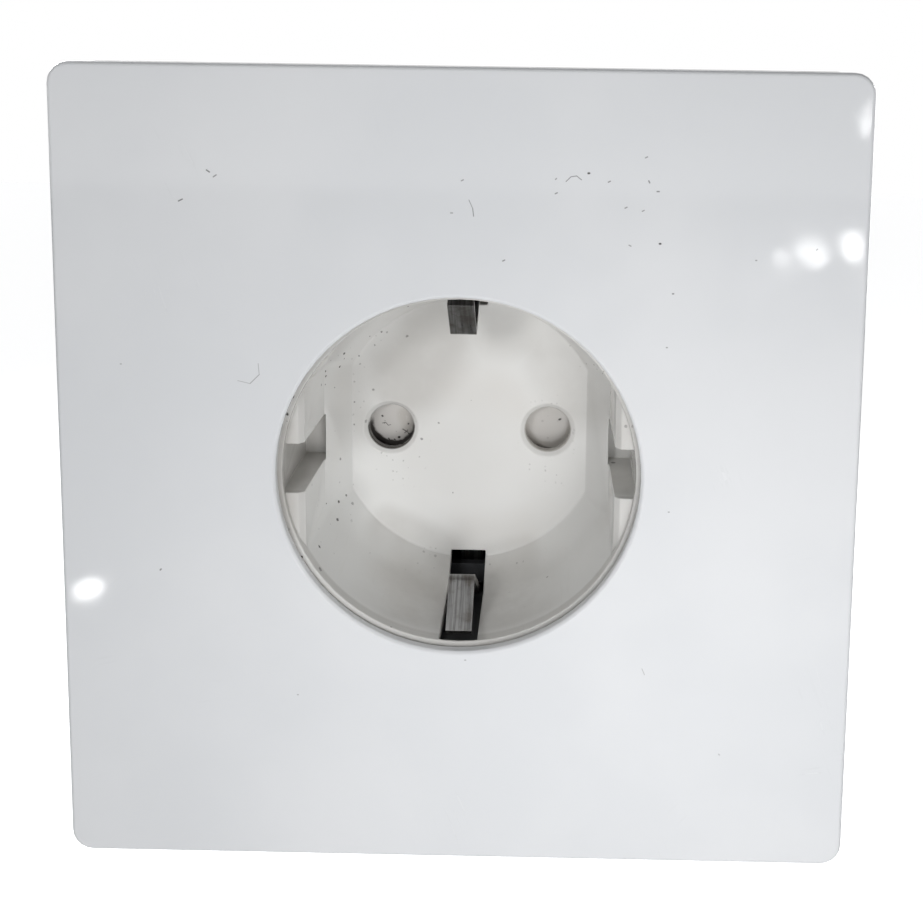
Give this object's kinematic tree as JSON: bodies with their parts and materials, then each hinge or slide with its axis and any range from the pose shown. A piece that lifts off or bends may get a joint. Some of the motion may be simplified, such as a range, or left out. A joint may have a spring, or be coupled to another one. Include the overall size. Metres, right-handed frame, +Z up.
{
  "type": "wall socket",
  "caption": "Flush wall socket: almost square white panel, round recess with side earth clips, shuttered pin holes, screw terminals inside.",
  "frame": {"origin": "on the axis of the round recess, in the plane of the wall's surface, where the frame's back rim rests", "axes": "+Z up as mounted, -Y out of the front panel to the user, +Y into the wall, +X to the user's right"},
  "size_m": [0.086, 0.0405, 0.088],
  "materials": {
    "panel_white": "gloss moulded plastic with fine handling scratches",
    "cup_white": "semi-gloss moulded plastic",
    "frame_grey": "dark grey glass-filled plastic, satin",
    "shutter_grey": "off-white moulded plastic, satin",
    "guide_natural": "natural moulded plastic, satin",
    "housing_grey": "dark grey moulded plastic, satin",
    "spring_steel": "drawn spring steel",
    "earth_steel": "bright plated strip, satin",
    "contact_brass": "rolled brass strip",
    "clamp_zinc": "zinc plated steel",
    "screw_zinc": "zinc plated steel"
  },
  "bodies": {
    "casing": {"front_panel": "panel_white", "mounting_frame": "frame_grey", "fixing_screw_left": "screw_zinc", "fixing_screw_right": "screw_zinc", "socket_cup": "cup_white", "shutter_guide": "guide_natural", "shutter_spring": "spring_steel", "contact_left": "contact_brass", "contact_right": "contact_brass", "contact_spring_left": "spring_steel", "contact_spring_right": "spring_steel", "earth_strap": "earth_steel", "earth_bar": "contact_brass", "earth_rivet": "earth_steel", "rear_housing": "housing_grey", "housing_screw_1": "screw_zinc", "housing_screw_2": "screw_zinc", "housing_screw_3": "screw_zinc", "housing_screw_4": "screw_zinc"},
    "shutter": {"shutter": "shutter_grey"},
    "screw_left": {"terminal_screw_left": "screw_zinc"},
    "screw_earth": {"terminal_screw_earth": "screw_zinc"},
    "screw_right": {"terminal_screw_right": "screw_zinc"},
    "clamp_left": {"clamp_left": "clamp_zinc"},
    "clamp_earth": {"clamp_earth": "clamp_zinc"},
    "clamp_right": {"clamp_right": "clamp_zinc"}
  },
  "joints": [
    {"name": "shutter_slide", "type": "slide", "parent": "casing", "child": "shutter", "axis": [0, 0, 1], "range_m": [0, 0.006], "stiffness_N_per_m": 100, "springref_m": -0.004, "deforming": ["shutter_spring"]},
    {"name": "screw_left_turn", "type": "hinge", "parent": "casing", "child": "screw_left", "pos_m": [-0.0123, 0.028, -0.01225], "axis": [0, -1, 0], "range_deg": [0, 1338]},
    {"name": "screw_earth_turn", "type": "hinge", "parent": "casing", "child": "screw_earth", "pos_m": [0, 0.028, -0.01225], "axis": [0, -1, 0], "range_deg": [0, 1338]},
    {"name": "screw_right_turn", "type": "hinge", "parent": "casing", "child": "screw_right", "pos_m": [0.0123, 0.028, -0.01225], "axis": [0, -1, 0], "range_deg": [0, 1338]},
    {"name": "clamp_left_slide", "type": "slide", "parent": "casing", "child": "clamp_left", "axis": [0, 1, 0], "range_m": [0, 0.0026]},
    {"name": "clamp_earth_slide", "type": "slide", "parent": "casing", "child": "clamp_earth", "axis": [0, 1, 0], "range_m": [0, 0.0026]},
    {"name": "clamp_right_slide", "type": "slide", "parent": "casing", "child": "clamp_right", "axis": [0, 1, 0], "range_m": [0, 0.0026]}
  ],
  "couplings": [
    {"joint": "screw_left_turn", "follows": "clamp_left_slide", "rad_per_m": 8976},
    {"joint": "screw_earth_turn", "follows": "clamp_earth_slide", "rad_per_m": 8976},
    {"joint": "screw_right_turn", "follows": "clamp_right_slide", "rad_per_m": 8976}
  ]
}
